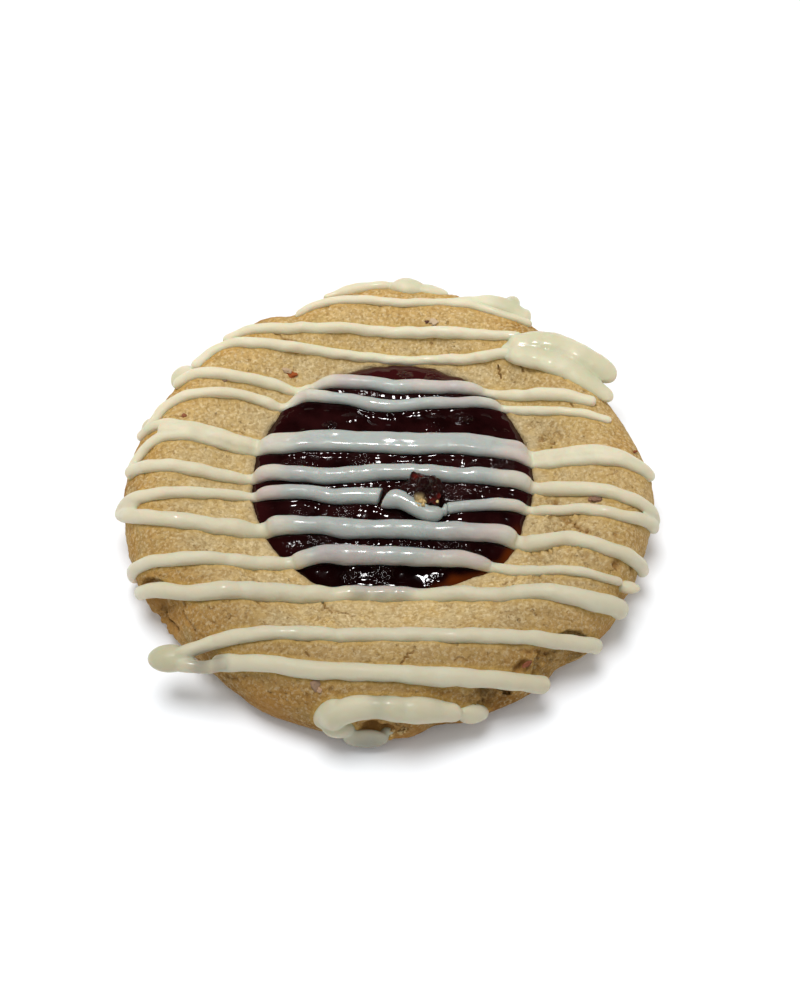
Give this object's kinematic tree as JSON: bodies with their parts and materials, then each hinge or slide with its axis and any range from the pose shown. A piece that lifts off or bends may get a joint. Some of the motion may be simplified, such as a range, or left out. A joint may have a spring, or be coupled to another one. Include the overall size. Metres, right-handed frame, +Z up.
{
  "type": "linzer thumbprint cookie",
  "caption": "Round shortbread cookie with a raised rim, a pool of dark jam in its middle and thin lines of white icing piped across",
  "frame": {"origin": "under the middle of the cookie, on the flat underside", "axes": "+Z up; the icing lines run along X; -Y is the side towards the viewer"},
  "size_m": [0.0813, 0.0819, 0.0143],
  "materials": {
    "dough": "golden baked shortbread, matte and sandy, browner at the rim",
    "icing": "set cream-white sugar icing with a soft sheen",
    "jam": "glossy lumpy dark red jam",
    "crumb": "crumb of dough coated with jam"
  },
  "bodies": {
    "root": {"cookie": "dough", "jam": "jam", "jammy_crumb": "crumb"}
  },
  "joints": []
}
